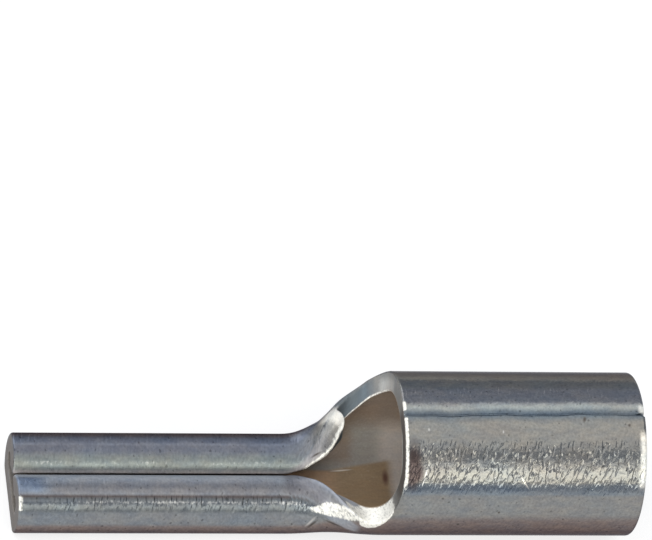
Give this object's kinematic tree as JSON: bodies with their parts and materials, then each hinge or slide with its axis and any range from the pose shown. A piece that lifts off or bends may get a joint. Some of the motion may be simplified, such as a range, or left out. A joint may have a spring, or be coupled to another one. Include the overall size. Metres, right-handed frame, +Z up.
{
  "type": "pin cable lug",
  "caption": "Tinned sheet-metal cable lug: a round crimp barrel for a stranded conductor, with an open neck and a flat-backed pin of two rolled edges for a screw terminal.",
  "frame": {"origin": "centre of the bounding box in plan, on the plane that the lug lies on", "axes": "+X along the barrel towards its mouth, +Z up from the pin's flat back, +Y towards the wing with the curled corner"},
  "size_m": [0.0228, 0.006, 0.006],
  "materials": {
    "tinned_copper": "satin tin plating on copper, scratched and a little dulled"
  },
  "bodies": {
    "root": {"cable_lug": "tinned_copper"}
  },
  "joints": []
}
